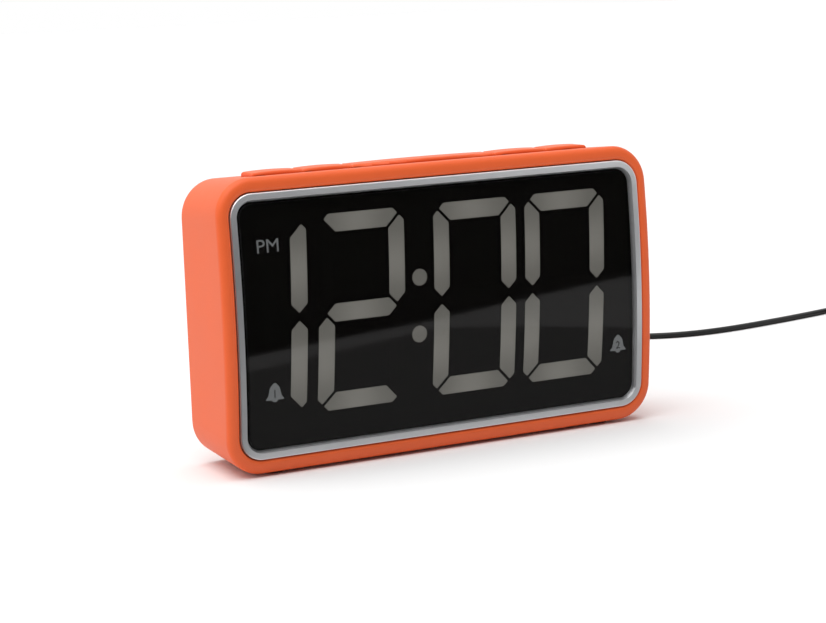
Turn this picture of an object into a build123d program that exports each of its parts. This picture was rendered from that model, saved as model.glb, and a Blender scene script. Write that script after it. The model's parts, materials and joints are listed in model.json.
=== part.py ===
from build123d import *
import math
import os

os.makedirs("parts", exist_ok=True)

# Frame: millimetres, +Z up, -Y out of the display, origin under the middle of the clock.

# ---- case: a rounded box that narrows towards the back, with a front bowed about X
case_width = 193.0
case_height = 113.85
case_depth = 40.2
front_bow = 3.6
case_wall = 2.4
corner_radius = 14.5
side_draft = 3.3
top_draft = 3.1
bottom_draft = 1.5
front_edge_round = 2.9
window_edge_round = 1.3
bezel_side = 4.75
bezel_top = 5.625
shelf_thickness = 2.0
shelf_rim = 12.0
boss_radius = 3.5
boss_inset = 6.2

# ---- silver trim, smoked lens and the mask behind it
trim_gap = 0.3
trim_width = 3.6
trim_bevel_width = 2.5
trim_bevel_depth = 1.0
trim_lip_round = 0.45
trim_skirt = 1.5
trim_depth = 5.6
lens_gap = 0.1
lens_sunk = 1.1
lens_thickness = 2.0
lens_flange = 1.3
lens_flange_thickness = 0.8
lens_bevel_width = 1.9
lens_bevel_depth = 0.55
mask_gap = 0.2
fit_gap = 0.05
board_face = 6.3
board_thickness = 1.6

# ---- digits: sloping seven-segment figures
digit_height = 76.2
digit_width = 37.7
digit_slant = 0.046
stroke_upright = 6.9
stroke_level = 7.0
digit_centre_height = 59.1
digit_places = (-79.4, -36.9, 14.0, 56.0)
corner_cut = 4.8
segment_gap = 1.2
waist_gap = 3.0
segment_tip_round = 0.45
segment_depth = 2.4
colon_place = -11.5
colon_centre_height = 57.9
colon_half_spacing = 11.2
colon_diameter = 6.6
led_size = (2.8, 0.8, 1.4)

# ---- top keys, left to right
key_edges = (-75.7, -54.2, -32.7, 31.8, 56.1, 76.0)
key_names = ("alarm_1_button", "alarm_2_button", "snooze_bar", "hour_button", "minute_button")
key_gap = 0.3
key_front = -7.0
key_depth = 11.0
key_crest = 1.9
key_crown_drop = 0.35
key_top_round = 1.1
key_corner_round = 0.8
key_travel = 0.8
key_flange = 1.0
key_flange_thickness = 1.0
plunger_radius = 2.2
plunger_length = 2.0
stem_radius = 1.7
stem_clearance = 0.06
stem_stand = 1.5
stem_seat = 1.0
switch_size = 6.0
switch_height = 3.5

# ---- back of the clock
cover_gap = 0.2
cover_thickness = 2.6
cover_pad_thickness = 2.2
screw_radius = 1.2
screw_clearance = 0.05
screw_head_radius = 2.5
screw_head_height = 1.7
screw_length = 9.0
head_recess_radius = 2.9
vent_count = 9
vent_width = 1.2
vent_pitch = 2.8
vent_place = (2.0, 88.0)
vent_length = 16.0
buzzer_radius = 12.0
buzzer_height = 5.5

# ---- battery bay and its tilting door
bay_place = (-42.0, 40.0)
bay_width = 56.0
bay_height = 24.4
bay_depth = 13.0
bay_wall = 1.6
bay_margin = 2.6
hinge_margin = 5.0
door_thickness = 1.5
door_gap = 0.3
door_tab_width = 6.0
door_tab_spacing = 30.0
door_tab_thickness = 1.1
door_tab_reach = 1.8
door_tab_clearance = 0.2
cell_radius = 5.2
cell_length = 43.3
cell_nub_radius = 1.9
cell_nub_length = 1.2
contact_thickness = 0.4

# ---- main board and what stands on it
main_board_size = (84.0, 58.0)
main_board_centre = (33.0, 42.0)
main_board_face = 6.0
board_post_radius = 3.0
board_hole_inset = 4.0
jack_place = (58.0, 22.0)
jack_size = 9.0
jack_bore = 2.8
jack_bore_depth = 10.0
jack_pin_radius = 1.0
dimmer_place = (20.0, 22.0)
dimmer_travel = 3.0
dimmer_knob_size = (4.0, 3.0)
dimmer_slot = (9.0, 4.0)

# ---- feet
foot_radius = 5.0
foot_height = 1.0
foot_seat = 0.6
foot_inset = (22.0, 9.5)

# ---- lead: barrel plug, free cord, coil and the plug on its far end
cord_radius = 1.45
barrel_radius = 2.75
barrel_bore = 1.1
barrel_length = 9.5
plug_radius = 5.0
plug_length = 20.0
relief_length = 12.0
relief_root = 3.4
relief_tip = 1.9
cord_level = 1.5
cord_way = [
    (58.0, 66.0, 22.0),
    (60.0, 84.0, 10.0),
    (66.0, 104.0, cord_level),
    (86.0, 129.0, cord_level),
    (124.0, 146.0, cord_level),
    (165.0, 152.0, cord_level),
    (200.0, 153.0, cord_level),
    (221.0, 140.0, cord_level),
    (248.0, 137.0, cord_level),
    (286.0, 142.5, cord_level),
    (320.0, 149.5, cord_level),
    (345.0, 156.4, cord_level),
]
coil_centre = (353.0, 136.5)
coil_mean_radius = 16.5
coil_turns_across = 4
coil_turns_high = 3
usb_relief_length = 10.0
usb_grip_size = (16.0, 26.0, 8.0)
usb_shell_size = (12.0, 14.0, 4.5)
usb_shell_wall = 0.4
usb_tongue_size = (10.6, 11.0, 1.8)

# ---- places worked out from the sizes above
front_plane = front_bow - (case_depth + front_bow) / 2
back_plane = front_plane + case_depth
case_base = foot_height
middle_height = case_base + case_height / 2
bow_radius = ((case_height / 2) ** 2 + front_bow ** 2) / (2 * front_bow)
bow_axis = front_plane - front_bow + bow_radius
board_plane = front_plane + board_face
shelf_plane = board_plane + board_thickness + fit_gap
cover_inner = back_plane - cover_thickness
key_middle = key_front + key_depth / 2
window_width = case_width - 2 * bezel_side
window_height = case_height - 2 * bezel_top
window_radius = corner_radius - bezel_side
trim_radius = window_radius - trim_gap
opening_width = window_width - 2 * trim_gap - 2 * trim_width
opening_height = window_height - 2 * trim_gap - 2 * trim_width
opening_radius = trim_radius - trim_width
plug_tail = back_plane + 0.3 + plug_length + relief_length
cord_route = [(jack_place[0], plug_tail, jack_place[1])] + cord_way

bodies = {}


# ---------------------------------------------------------------- shared shapes
def section(width, low, high, radius, depth):
    """Rounded rectangle across the clock at one depth."""
    plane = Plane(origin=(0, depth, (low + high) / 2), x_dir=(1, 0, 0), z_dir=(0, -1, 0))
    return plane * RectangleRounded(width, high - low, radius)


def case_section(depth, inset):
    """The case's outline at one depth, drawn in by inset."""
    share = (depth - front_plane) / case_depth
    width = case_width - 2 * side_draft * share - 2 * inset
    low = case_base + bottom_draft * share + inset
    high = case_base + case_height - top_draft * share - inset
    return section(width, low, high, corner_radius - inset, depth)


def case_block(start, end, inset):
    """Tapered block with the case's outline between two depths."""
    return loft([case_section(start, inset).face(), case_section(end, inset).face()])


def prism(width, height, radius, start, end):
    """Straight block with rounded corners, centred on the display, between two depths."""
    face = section(width, middle_height - height / 2, middle_height + height / 2, radius, start)
    return extrude(face, amount=start - end)


def bow(sunk):
    """Everything behind the bowed front, moved back by sunk."""
    return Pos(0, bow_axis, middle_height) * Rot(0, 90, 0) * Cylinder(bow_radius - sunk, 1.3 * case_width)


def bow_depth(height, sunk):
    """Depth of the bowed front at one height, moved back by sunk."""
    rise = height - middle_height
    return bow_axis - math.sqrt((bow_radius - sunk) ** 2 - rise ** 2)


def block(low, high):
    """Box between two corners."""
    size = [high[i] - low[i] for i in range(3)]
    middle = [(high[i] + low[i]) / 2 for i in range(3)]
    return Pos(*middle) * Box(*size)


def rod(place, radius, start, end):
    """Cylinder along Y at (x, z) between two depths."""
    return Pos(place[0], (start + end) / 2, place[1]) * Rot(90, 0, 0) * Cylinder(radius, end - start)


def post(x, y, radius, low, high):
    """Cylinder along Z between two heights."""
    return Pos(x, y, (low + high) / 2) * Cylinder(radius, high - low)


def top_at(depth):
    """Height of the sloping top at one depth."""
    return case_base + case_height - top_draft * (depth - front_plane) / case_depth


def bottom_at(depth):
    """Height of the sloping underside at one depth."""
    return case_base + bottom_draft * (depth - front_plane) / case_depth


def front_edges(shape):
    """Edges of the bowed front face."""
    return shape.faces().sort_by(Axis.Y)[0].edges()


def keep(name, *solids):
    """Write one sub-part, a group of separate solids when there are several."""
    shape = solids[0] if len(solids) == 1 else Compound(children=list(solids))
    shape.label = name
    export_step(shape, f"parts/{name}.step")
    bodies[name] = shape


def as_solid(shape):
    """The one solid of a boolean's result."""
    found = shape.solids()
    if len(found) != 1:
        raise ValueError(f"expected one solid, found {len(found)}")
    return found[0]


# ---------------------------------------------------------------- case
def boss_places():
    """Four screw bosses in the back corners of the case."""
    rear_width = case_width / 2 - side_draft - case_wall
    low = bottom_at(back_plane) + case_wall + boss_inset
    high = top_at(back_plane) - case_wall - boss_inset
    across = rear_width - boss_inset
    return [(x, z) for x in (-across, across) for z in (low, high)]


def key_slot(extra):
    """Slot through the top that the row of keys moves in."""
    low = top_at(back_plane) - 4 * case_wall
    start = (key_edges[0] - extra, key_front - extra, low)
    end = (key_edges[-1] + extra, key_front + key_depth + extra, case_base + case_height + 5)
    return fillet(block(start, end).edges().filter_by(Axis.Z), key_corner_round + extra)


def foot_places():
    """Four feet under the case as (x, y)."""
    across = case_width / 2 - foot_inset[0]
    rows = (front_plane + foot_inset[1], back_plane - foot_inset[1])
    return [(x, y) for x in (-across, across) for y in rows]


def switch_board_height():
    """Top face of the key board, so that stems, plungers and flanges stack up to the keys."""
    return key_flange_top() - key_flange_thickness - plunger_length - stem_stand - switch_height


def key_flange_top():
    """Keys stop against the lowest part of the top wall's underside."""
    return top_at(key_front + key_depth + key_flange) - case_wall - fit_gap


def front_case():
    outer = case_block(front_plane - front_bow - 2, back_plane, 0) & bow(0)
    outer = fillet(front_edges(outer), front_edge_round)
    cavity = case_block(front_plane - front_bow - 2, back_plane + 1, case_wall) & bow(case_wall)
    window = prism(window_width, window_height, window_radius, front_plane - 8, front_plane + 8)
    shell = outer - cavity - window
    inner_wire = shell.faces().sort_by(Axis.Y)[0].inner_wires()
    shell = fillet(inner_wire[0].edges(), window_edge_round)
    shelf_end = shelf_plane + shelf_thickness
    shelf = case_block(shelf_plane, shelf_end, case_wall - 0.5)
    clear_width = window_width - 2 * shelf_rim
    clear_height = window_height - 2 * shelf_rim
    shelf -= prism(clear_width, clear_height, 4, shelf_plane - 1, shelf_end + 1)
    shell += shelf
    boss_end = cover_inner - cover_pad_thickness - fit_gap
    inside = case_block(shelf_plane, back_plane, case_wall / 2)
    for place in boss_places():
        shell += rod(place, boss_radius, shelf_plane + shelf_thickness / 2, boss_end) & inside
    ledge_top = switch_board_height() - board_thickness - fit_gap
    for x in (key_edges[0] + 8, 0, key_edges[-1] - 8):
        low = (x - 4, shelf_end - 0.5, ledge_top - 3)
        shell += block(low, (x + 4, key_front + key_depth, ledge_top))
    for place in boss_places():
        shell -= rod(place, screw_radius + screw_clearance, boss_end - screw_length, boss_end + 1)
    shell -= key_slot(0)
    for place in display_screw_places():
        shell -= rod(place, screw_radius + 0.3, shelf_plane - 1, shelf_end + 1)
    for x, y in foot_places():
        shell -= post(x, y, foot_radius + fit_gap, 0, bottom_at(y) + foot_seat)
    return as_solid(shell)


def rubber_feet():
    return [post(x, y, foot_radius, 0, bottom_at(y) + foot_seat - fit_gap) for x, y in foot_places()]


# ---------------------------------------------------------------- display
def trim_ring():
    width = window_width - 2 * trim_gap
    height = window_height - 2 * trim_gap
    ring = prism(width, height, trim_radius, front_plane - 8, front_plane + trim_depth) & bow(0.1)
    past_trim = front_plane + trim_depth + 1
    ring -= prism(opening_width, opening_height, opening_radius, front_plane - 9, past_trim)
    inner = ring.faces().sort_by(Axis.Y)[0].inner_wires()[0].edges()
    ring = chamfer(inner, trim_bevel_depth, trim_bevel_width, reference=ring.faces().sort_by(Axis.Y)[0])
    outer = ring.faces().sort_by(Axis.Y)[0].outer_wire().edges()
    ring = fillet(outer, trim_lip_round)
    hollow = prism(
        width - 2 * trim_skirt, height - 2 * trim_skirt, trim_radius - trim_skirt,
        front_plane - 8, front_plane + trim_depth + 1,
    )
    ring -= hollow & bow(lens_sunk + lens_thickness - lens_flange_thickness - fit_gap)
    return as_solid(ring)


def display_lens():
    width = opening_width - 2 * lens_gap
    height = opening_height - 2 * lens_gap
    back = bow(lens_sunk + lens_thickness)
    plate = prism(width, height, opening_radius - lens_gap, front_plane - 8, front_plane + 8) & bow(lens_sunk)
    rim = plate.faces().sort_by(Axis.Y)[0]
    plate = chamfer(rim.edges(), lens_bevel_depth, lens_bevel_width, reference=rim)
    flange = prism(
        width + 2 * lens_flange, height + 2 * lens_flange, opening_radius + lens_flange,
        front_plane - 8, front_plane + 8,
    )
    plate += flange & bow(lens_sunk + lens_thickness - lens_flange_thickness)
    return as_solid(plate - back)


def segment_outlines():
    """Corner points of each segment about the digit's centre, before it slopes."""
    half_w = digit_width / 2
    half_h = digit_height / 2
    cut = corner_cut
    shift = segment_gap / math.sqrt(2)
    top = [
        (half_w - cut, half_h),
        (half_w - (cut + shift) / 2, half_h - (cut - shift) / 2),
        (half_w - stroke_level - shift, half_h - stroke_level),
    ]
    top += [(-x, z) for x, z in reversed(top)]
    tip = waist_gap / 2
    shoulder = tip + stroke_upright / 2
    right = [
        (half_w, half_h - cut),
        (half_w - (cut - shift) / 2, half_h - (cut + shift) / 2),
        (half_w - stroke_upright, half_h - stroke_upright - shift),
        (half_w - stroke_upright, shoulder),
        (half_w - stroke_upright / 2, tip),
        (half_w, shoulder),
    ]
    reach = half_w - stroke_upright / 2 + tip - 2 * shift
    middle = [
        (reach, 0),
        (reach - stroke_level / 2, -stroke_level / 2),
        (stroke_level / 2 - reach, -stroke_level / 2),
        (-reach, 0),
        (stroke_level / 2 - reach, stroke_level / 2),
        (reach - stroke_level / 2, stroke_level / 2),
    ]
    return {
        "top": top,
        "upper_right": right,
        "lower_right": [(x, -z) for x, z in right],
        "bottom": [(x, -z) for x, z in top],
        "lower_left": [(-x, -z) for x, z in right],
        "upper_left": [(-x, z) for x, z in right],
        "middle": middle,
    }


def window_block(points, place, grow):
    """Prism of one sloping segment, through the whole depth of the mask."""
    centre = case_base + digit_centre_height
    plane = Plane(origin=(place, front_plane - 8, centre), x_dir=(1, 0, 0), z_dir=(0, -1, 0))
    sloped = [(x + digit_slant * z, z) for x, z in points]
    face = make_face(Polyline(*sloped, close=True))
    face = fillet(face.vertices(), segment_tip_round)
    if grow:
        face = offset(face, grow)
    return extrude(plane * face, amount=-24)


def colon_block(side, grow):
    height = case_base + colon_centre_height + side * colon_half_spacing
    x = colon_place + digit_slant * side * colon_half_spacing
    return rod((x, height), colon_diameter / 2 + grow, front_plane - 8, front_plane + 16)


def light_bar(solid):
    """The part of a window that the diffuser fills, flush with the mask's front."""
    front = lens_sunk + lens_thickness + mask_gap
    return as_solid((solid & bow(front)) - bow(front + segment_depth))


shown = {
    "hour_tens_segments": ("upper_right", "lower_right"),
    "hour_units_segments": ("top", "upper_right", "middle", "lower_left", "bottom"),
    "minute_tens_segments": ("top", "upper_right", "lower_right", "bottom", "lower_left", "upper_left"),
    "minute_units_segments": ("top", "upper_right", "lower_right", "bottom", "lower_left", "upper_left"),
}


def fitted_segments():
    """Each segment the clock has, as (digit, segment), with only a 1 in the first place."""
    names = list(shown)
    found = []
    for index, digit in enumerate(names):
        for segment in segment_outlines():
            if index > 0 or segment in shown[digit]:
                found.append((digit, digit_places[index], segment))
    return found


def display_screw_places():
    across = opening_width / 2 - 4.0
    up = opening_height / 4
    return [(x, middle_height + z) for x in (-across, across) for z in (-up, up)]


def segment_mask():
    width = window_width - 2 * trim_gap - 2 * trim_skirt - 0.3
    height = window_height - 2 * trim_gap - 2 * trim_skirt - 0.3
    front = bow(lens_sunk + lens_thickness + mask_gap)
    mask = prism(width, height, trim_radius - trim_skirt, front_plane - 8, board_plane - fit_gap) & front
    outlines = segment_outlines()
    for digit, place, segment in fitted_segments():
        mask -= window_block(outlines[segment], place, fit_gap)
    for side in (-1, 1):
        mask -= colon_block(side, fit_gap)
    for place in display_screw_places():
        mask -= rod(place, screw_radius + screw_clearance, board_plane - 4.0, board_plane + 1)
    return as_solid(mask)


def display_leds():
    """One light chip behind each segment and colon dot."""
    outlines = segment_outlines()
    chips = []
    centre = case_base + digit_centre_height
    spots = []
    for digit, place, segment in fitted_segments():
        points = outlines[segment]
        x = sum(p[0] for p in points) / len(points)
        z = sum(p[1] for p in points) / len(points)
        spots.append((place + x + digit_slant * z, centre + z))
    for side in (-1, 1):
        spots.append((colon_place, case_base + colon_centre_height + side * colon_half_spacing))
    wide, thick, tall = led_size
    for x, z in spots:
        low = (x - wide / 2, board_plane - thick, z - tall / 2)
        chips.append(block(low, (x + wide / 2, board_plane, z + tall / 2)))
    return chips


def display_board():
    width = window_width - 2 * trim_gap - 2 * trim_skirt - 0.3
    height = window_height - 2 * trim_gap - 2 * trim_skirt - 0.3
    board = prism(width, height, trim_radius - trim_skirt, board_plane, board_plane + board_thickness)
    for place in display_screw_places():
        board -= rod(place, screw_radius + 0.3, board_plane - 1, board_plane + board_thickness + 1)
    return as_solid(board)


# ---------------------------------------------------------------- fasteners
def screw(place, head_plane, length):
    """Screw driven from behind: its head's underside is at head_plane and it points at the display."""
    shank = rod(place, screw_radius, head_plane - length, head_plane + 0.2)
    head = rod(place, screw_head_radius, head_plane, head_plane + screw_head_height)
    head = fillet(head.edges().sort_by(Axis.Y)[-1], 0.6)
    slot = block(
        (place[0] - 1.6, head_plane + screw_head_height - 0.9, place[1] - 0.35),
        (place[0] + 1.6, head_plane + screw_head_height + 1, place[1] + 0.35),
    )
    cross = Pos(place[0], 0, place[1]) * Rot(0, 90, 0) * Pos(-place[0], 0, -place[1]) * slot
    return as_solid(head + shank - slot - cross)


# ---------------------------------------------------------------- keys
def key_span(index):
    """Left and right faces of one key, half a gap in from its neighbours."""
    return key_edges[index] + key_gap / 2, key_edges[index + 1] - key_gap / 2


def plunger_spot(index):
    left, right = key_span(index)
    return (left + right) / 2, key_middle


def top_key(index):
    left, right = key_span(index)
    middle = (left + right) / 2
    crest = top_at(key_middle) + key_crest
    flange_top = key_flange_top()
    front = key_front + key_gap
    back = key_front + key_depth - key_gap
    key = block((left, front, flange_top - key_flange_thickness), (right, back, crest + 5))
    key = fillet(key.edges().filter_by(Axis.Z), key_corner_round - key_gap)
    half = (right - left) / 2
    crown = (half ** 2 + key_crown_drop ** 2) / (2 * key_crown_drop)
    dome = Pos(middle, key_middle, crest - crown) * Rot(90, 0, 0) * Cylinder(crown, 4 * key_depth)
    key = key & dome
    rim = key.faces().sort_by(Axis.Z)[-1].edges()
    key = fillet(rim, key_top_round)
    flange = block(
        (left, front - key_flange, flange_top - key_flange_thickness),
        (right, back + key_flange, flange_top),
    )
    base = flange_top - key_flange_thickness
    plunger = post(middle, key_middle, plunger_radius, base - plunger_length, base + 0.2)
    return as_solid(key + flange + plunger)


def key_stem(index):
    """Moving stem of the switch under one key."""
    x, y = plunger_spot(index)
    body_top = switch_board_height() + switch_height
    return post(x, y, stem_radius, body_top - stem_seat, body_top + stem_stand)


def tact_switches():
    board_top = switch_board_height()
    switches = []
    for index in range(len(key_names)):
        x, y = plunger_spot(index)
        half = switch_size / 2
        body = block((x - half, y - half, board_top), (x + half, y + half, board_top + switch_height))
        body = chamfer(body.edges().filter_by(Axis.Z), 0.5)
        well = post(
            x, y, stem_radius + stem_clearance,
            board_top + switch_height - stem_seat - key_travel - 0.3, board_top + switch_height + 1,
        )
        switches.append(as_solid(body - well))
    return switches


def button_board():
    board_top = switch_board_height()
    low = (key_edges[0] + 1, shelf_plane + shelf_thickness + 0.3, board_top - board_thickness)
    return block(low, (key_edges[-1] - 1, key_front + key_depth, board_top))


# ---------------------------------------------------------------- back of the clock
def bay_box(grow, start, end):
    """Box around the battery bay, larger by grow on each side."""
    x, z = bay_place
    low = (x - bay_width / 2 - grow, start, z - bay_height / 2 - grow)
    return block(low, (x + bay_width / 2 + grow, end, z + bay_height / 2 + grow))


def door_recess(gap):
    """Outline of the door's seat as low x, high x, low z, high z."""
    x, z = bay_place
    return (
        x - bay_width / 2 - bay_margin + gap,
        x + bay_width / 2 + bay_margin - gap,
        z - bay_height / 2 - hinge_margin + gap,
        z + bay_height / 2 + bay_margin - gap,
    )


def tab_spots():
    return [bay_place[0] + side * door_tab_spacing / 2 for side in (-1, 1)]


def board_post_places():
    wide, tall = main_board_size
    x, z = main_board_centre
    across = wide / 2 - board_hole_inset
    up = tall / 2 - board_hole_inset
    return [(x + i * across, z + j * up) for i in (-1, 1) for j in (-1, 1)]


def vent_slots():
    slots = []
    x, z = vent_place
    for index in range(vent_count):
        left = x + (index - (vent_count - 1) / 2) * vent_pitch - vent_width / 2
        low = (left, cover_inner - 3, z - vent_length / 2)
        slots.append(block(low, (left + vent_width, back_plane + 1, z + vent_length / 2)))
    return slots


def rear_cover():
    cover = case_block(cover_inner, back_plane, case_wall + cover_gap)
    cover = fillet(cover.faces().sort_by(Axis.Y)[-1].edges(), 0.6)
    pad_start = cover_inner - cover_pad_thickness
    for place in boss_places():
        cover += rod(place, boss_radius, pad_start, cover_inner + 0.2) & case_block(
            front_plane, back_plane, case_wall + cover_gap)
    for place in boss_places():
        cover -= rod(place, screw_radius + 0.3, pad_start - 1, back_plane + 1)
        cover -= rod(place, head_recess_radius, pad_start + 2.4, back_plane + 1)
    box_end = cover_inner - bay_depth - bay_wall
    cover += bay_box(bay_wall, box_end, cover_inner + 0.2)
    cover -= bay_box(0, box_end + bay_wall, back_plane + 1)
    left, right, low, high = door_recess(0)
    cover -= block((left, back_plane - door_thickness - 0.1, low), (right, back_plane + 1, high))
    for x in tab_spots():
        half = door_tab_width / 2 + door_gap
        swing = (x - half, tab_plane() - door_tab_thickness, low)
        cover -= block(swing, (x + half, back_plane, bay_place[1] - bay_height / 2 + 0.1))
    grip = rod((bay_place[0], high), 7.0, back_plane - 1.2, back_plane + 1)
    cover -= grip
    for place in board_post_places():
        cover += rod(place, board_post_radius, main_board_face + board_thickness, cover_inner + 0.2)
        cover -= rod(place, screw_radius + screw_clearance, main_board_face, cover_inner)
    for slot in vent_slots():
        cover -= slot
    wall = buzzer_radius + 1.5
    ring = rod(vent_place, wall, cover_inner - 3, cover_inner + 0.2)
    ring -= rod(vent_place, buzzer_radius + fit_gap, cover_inner - 4, cover_inner + 0.1)
    cover += ring
    half = jack_size / 2 + 0.2
    x, z = jack_place
    cover -= block((x - half, cover_inner - 1, z - half), (x + half, back_plane + 1, z + half))
    x, z = dimmer_place
    wide, tall = dimmer_slot
    slot_corner = (x - wide / 2, cover_inner - 1, z - tall / 2)
    cover -= block(slot_corner, (x + wide / 2, back_plane + 1, z + tall / 2))
    for x in (key_edges[0] + 20, key_edges[-1] - 20):
        rib_low = (x - 1, key_front + key_depth + fit_gap, switch_board_height() - board_thickness - 1)
        cover += block(rib_low, (x + 1, cover_inner + 0.2, switch_board_height() + 2))
    return as_solid(cover)


def tab_plane():
    """Depth of the face of the door's tabs that hooks behind the cover."""
    return cover_inner - door_tab_clearance


def battery_door():
    """Door whose round lower edge is centred on its tilting axis."""
    left, right, low, high = door_recess(door_gap)
    inner = back_plane - door_thickness
    edge = door_thickness / 2
    door = block((left, inner, low + edge), (right, back_plane, high))
    door = fillet(door.edges().filter_by(Axis.Y).sort_by(Axis.Z)[-2:], 1.0)
    roll = Pos((left + right) / 2, back_plane - edge, low + edge) * Rot(0, 90, 0)
    door += roll * Cylinder(edge, right - left)
    for index in range(5):
        z = high - 3.0 - 1.6 * index
        near_corner = (bay_place[0] - 8, back_plane - 0.4, z - 0.4)
        groove = block(near_corner, (bay_place[0] + 8, back_plane + 1, z + 0.4))
        door -= groove
    tab_back = tab_plane()
    for x in tab_spots():
        half = door_tab_width / 2
        near_corner = (x - half, tab_back - door_tab_thickness, low)
        arm = block(near_corner, (x + half, inner + 0.2, low + door_tab_thickness))
        foot = block(
            (x - half, tab_back - door_tab_thickness, low - door_gap - door_tab_reach),
            (x + half, tab_back, low + door_tab_thickness),
        )
        door += arm + foot
    return as_solid(door)


def cell_row(index):
    """Height of one battery cell's axis."""
    return bay_place[1] + (index - 0.5) * (bay_height / 2 - 0.4)


def backup_batteries():
    cells = []
    depth = cover_inner - bay_depth + cell_radius + 1.2
    for index in range(2):
        side = 1 - 2 * index
        height = cell_row(index)
        spin = Pos(bay_place[0], depth, height) * Rot(0, 90, 0)
        can = fillet(Cylinder(cell_radius, cell_length).edges(), 0.5)
        nub_height = side * (cell_length + cell_nub_length) / 2
        nub = Pos(0, 0, nub_height) * Cylinder(cell_nub_radius, cell_nub_length + 0.02)
        cells.append(as_solid(spin * (can + nub)))
    return cells


def battery_contacts():
    """Flat plates at the button ends and bowed leaves at the flat ends of the two cells."""
    pieces = []
    depth = cover_inner - bay_depth + cell_radius + 1.2
    low_y = cover_inner - bay_depth + 0.3
    high_y = depth + 4.0
    for index in range(2):
        side = 1 - 2 * index
        height = cell_row(index)
        wall = bay_place[0] + side * (bay_width / 2 - fit_gap)
        plate = block(
            (min(wall, wall - side * contact_thickness), low_y, height - 3.5),
            (max(wall, wall - side * contact_thickness), high_y, height + 3.5),
        )
        pieces.append(plate)
        wall = bay_place[0] - side * (bay_width / 2 - fit_gap)
        face = bay_place[0] - side * (cell_length / 2 + 0.2)
        path = [
            (wall, low_y), (wall, high_y), (face, depth), (wall + side * 1.2, low_y + 1.0),
        ]
        inner = [
            (wall + side * contact_thickness, low_y), (wall + side * contact_thickness, high_y - 1.0),
            (face - side * 1.4 * contact_thickness, depth), (wall + side * 0.9, low_y + 1.2),
        ]
        outline = make_face(Polyline(*path[:4], *inner[3::-1], close=True))
        pieces.append(as_solid(extrude(Pos(0, 0, height - 2.5) * outline, amount=5.0)))
    return pieces


def main_board():
    wide, tall = main_board_size
    x, z = main_board_centre
    low = (x - wide / 2, main_board_face, z - tall / 2)
    board = block(low, (x + wide / 2, main_board_face + board_thickness, z + tall / 2))
    for place in board_post_places():
        board -= rod(place, screw_radius + 0.3, main_board_face - 1, main_board_face + board_thickness + 1)
    return as_solid(board)


def board_screw(place):
    """Screw that holds the main board, driven from the display side."""
    turned = screw((0, 0), 0, 7.0)
    return Pos(place[0], main_board_face, place[1]) * Rot(0, 0, 180) * turned


def chip(x, z, wide, tall, thick):
    """Moulded chip with its feet, on the display side of the main board."""
    body = block(
        (x - wide / 2, main_board_face - thick, z - tall / 2),
        (x + wide / 2, main_board_face - 0.15, z + tall / 2),
    )
    body = chamfer(body.edges().filter_by(Axis.Y), 0.3)
    count = int(wide / 1.8)
    for index in range(count):
        foot = x + (index - (count - 1) / 2) * 1.6
        low = (foot - 0.3, main_board_face - 0.5, z - tall / 2 - 1.2)
        body += block(low, (foot + 0.3, main_board_face, z + tall / 2 + 1.2))
    return as_solid(body)


def can(x, z, radius, length):
    """Round can capacitor standing on the main board."""
    shape = rod((x, z), radius, main_board_face - length, main_board_face)
    return fillet(shape.edges().sort_by(Axis.Y)[0], 0.5)


def dc_jack():
    x, z = jack_place
    half = jack_size / 2
    start = main_board_face + board_thickness
    end = back_plane - 0.4
    body = block((x - half, start, z - half), (x + half, end, z + half))
    body -= rod(jack_place, jack_bore, end - jack_bore_depth, end + 1)
    body += rod(jack_place, jack_pin_radius, end - jack_bore_depth - 0.2, end - 0.5)
    return as_solid(body)


def dimmer_switch():
    x, z = dimmer_place
    start = main_board_face + board_thickness
    end = cover_inner - 0.6
    body = block((x - 6.0, start, z - 3.0), (x + 6.0, end, z + 3.0))
    wide, tall = dimmer_knob_size
    travel = wide / 2 + dimmer_travel / 2 + 0.3
    body -= block((x - travel, end - 2.0, z - tall / 2 - 0.1), (x + travel, end + 1, z + tall / 2 + 0.1))
    return as_solid(body)


def dimmer_knob():
    """Slider's knob, drawn at the bright end of its travel."""
    x, z = dimmer_place
    x -= dimmer_travel / 2
    wide, tall = dimmer_knob_size
    end = cover_inner - 0.6
    top = back_plane - 0.3
    knob = block((x - wide / 2, end - 1.7, z - tall / 2), (x + wide / 2, top, z + tall / 2))
    for index in range(3):
        ridge = x + (index - 1) * 1.2
        knob -= block((ridge - 0.25, top - 0.4, z - tall), (ridge + 0.25, top + 1, z + tall))
    return as_solid(knob)


def buzzer():
    body = rod(vent_place, buzzer_radius, cover_inner - buzzer_height, cover_inner - 0.1)
    body = fillet(body.edges().sort_by(Axis.Y)[0], 0.8)
    body -= rod(vent_place, 1.5, cover_inner - 1.5, cover_inner)
    return as_solid(body)


def flat_cable(points, width, centre):
    """Flat cable whose section follows a bent path in the YZ plane."""
    thick = 0.6
    path = FilletPolyline(*[(0, y, z) for y, z in points], radius=2.0)
    start = path % 0
    plane = Plane(origin=path @ 0, x_dir=(1, 0, 0), z_dir=start)
    return as_solid(Pos(centre, 0, 0) * sweep(plane * Rectangle(width, thick), path=path))


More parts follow.
